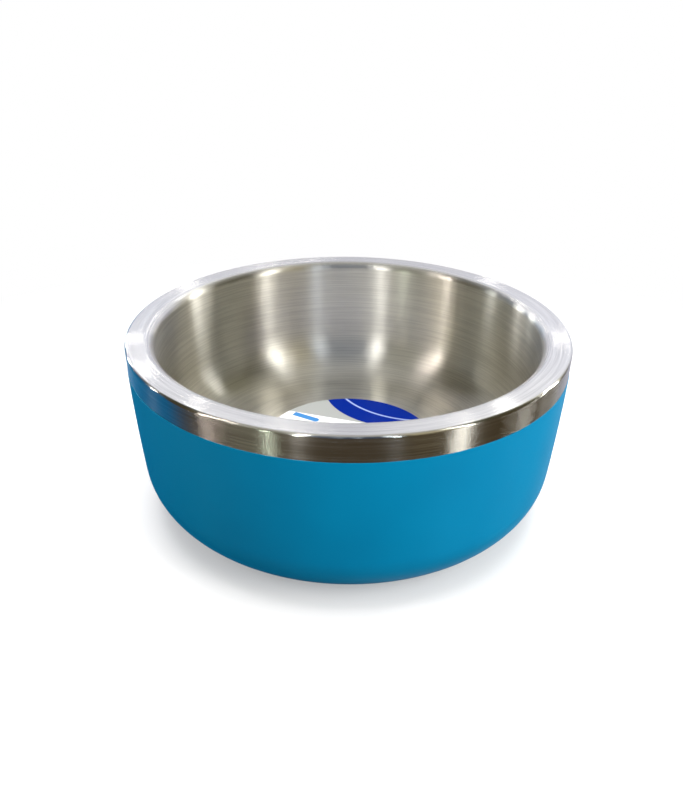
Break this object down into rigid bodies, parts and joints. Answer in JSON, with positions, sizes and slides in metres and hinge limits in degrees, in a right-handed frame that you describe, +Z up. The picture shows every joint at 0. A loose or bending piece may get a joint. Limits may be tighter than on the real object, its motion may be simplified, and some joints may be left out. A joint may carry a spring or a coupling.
{
  "type": "shaving bowl",
  "caption": "Round double-walled steel lather bowl with a wide flat rim, a blue coated outside below a bare steel band, a rounded base and a grooved rubber foot pad.",
  "frame": {"origin": "on the bowl's axis, on the surface that it stands on (the underside of the foot pad)", "axes": "+Z up along the axis, out of the bowl's mouth; X and Y are alike, because every piece is turned about +Z"},
  "size_m": [0.12, 0.12, 0.0512],
  "materials": {
    "brushed_steel": "brushed in circles round the axis",
    "blue_coat": "satin",
    "label_film": "satin",
    "dark_silicone": "matte",
    "clear_adhesive": "satin"
  },
  "bodies": {
    "root": {"liner_bowl": "brushed_steel", "outer_shell": "brushed_steel", "rim_weld": "brushed_steel", "powder_coat": "blue_coat", "floor_label": "label_film", "vent_plug": "dark_silicone", "pad_adhesive": "clear_adhesive", "foot_pad": "dark_silicone"}
  },
  "joints": []
}
